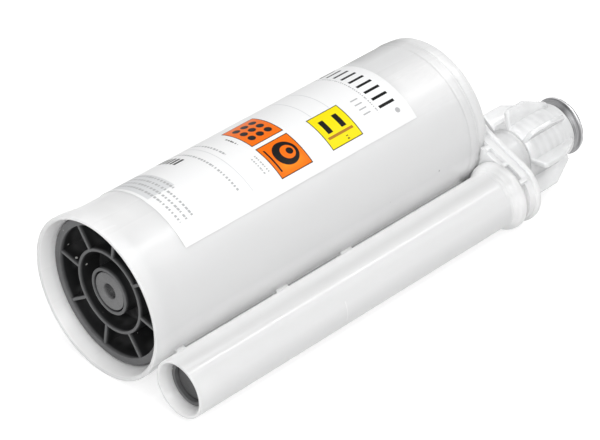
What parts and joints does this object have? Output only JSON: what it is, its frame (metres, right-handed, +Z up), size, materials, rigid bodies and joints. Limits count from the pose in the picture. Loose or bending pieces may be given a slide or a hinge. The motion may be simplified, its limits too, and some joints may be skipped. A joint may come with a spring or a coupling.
{
  "type": "adhesive cartridge",
  "caption": "Side-by-side two-component adhesive cartridge: wide and narrow barrel, ribbed pistons, joined outlet head and a winged nut that clamps the outlet plug.",
  "frame": {"origin": "middle of the bounding box's base, on the surface that the cartridge lies on", "axes": "+X along both barrels from the open piston ends to the outlet, +Y from the narrow barrel to the wide one, +Z up"},
  "size_m": [0.1756, 0.0724, 0.053],
  "materials": {
    "natural_plastic": "natural white moulded plastic, satin",
    "label_film": "white printed film, satin",
    "charcoal_plastic": "charcoal moulded plastic, satin",
    "grey_plastic": "mid grey moulded plastic, satin",
    "seal_rubber": "black sealing rubber",
    "clear_plastic": "cloudy translucent moulded plastic",
    "disc_metal": "bright pressed metal"
  },
  "bodies": {
    "cartridge": {"wide_barrel": "natural_plastic", "narrow_barrel": "natural_plastic", "outlet_head": "natural_plastic", "label": "label_film"},
    "wide_piston": {"wide_piston": "charcoal_plastic", "wide_piston_seal": "seal_rubber", "wide_vent_pin": "grey_plastic"},
    "narrow_piston": {"narrow_piston": "charcoal_plastic", "narrow_piston_seal": "seal_rubber", "narrow_vent_disc": "grey_plastic"},
    "closure": {"closure_plug": "natural_plastic", "plug_gasket": "seal_rubber", "closure_disc": "disc_metal"},
    "nut": {"retaining_nut": "clear_plastic"}
  },
  "joints": [
    {"name": "wide_piston_slide", "type": "slide", "parent": "cartridge", "child": "wide_piston", "axis": [1, 0, 0], "range_m": [0, 0.119]},
    {"name": "narrow_piston_slide", "type": "slide", "parent": "cartridge", "child": "narrow_piston", "axis": [1, 0, 0], "range_m": [0, 0.1185]},
    {"name": "closure_slide", "type": "slide", "parent": "cartridge", "child": "closure", "axis": [1, 0, 0], "range_m": [0, 0.012]},
    {"name": "nut_turn", "type": "hinge", "parent": "closure", "child": "nut", "pos_m": [0.07215, -0.01561, 0.01546], "axis": [1, 0, 0], "range_deg": [0, 1440]}
  ],
  "couplings": [
    {"joint": "closure_slide", "follows": "nut_turn", "m_per_rad": 0.00047746}
  ]
}
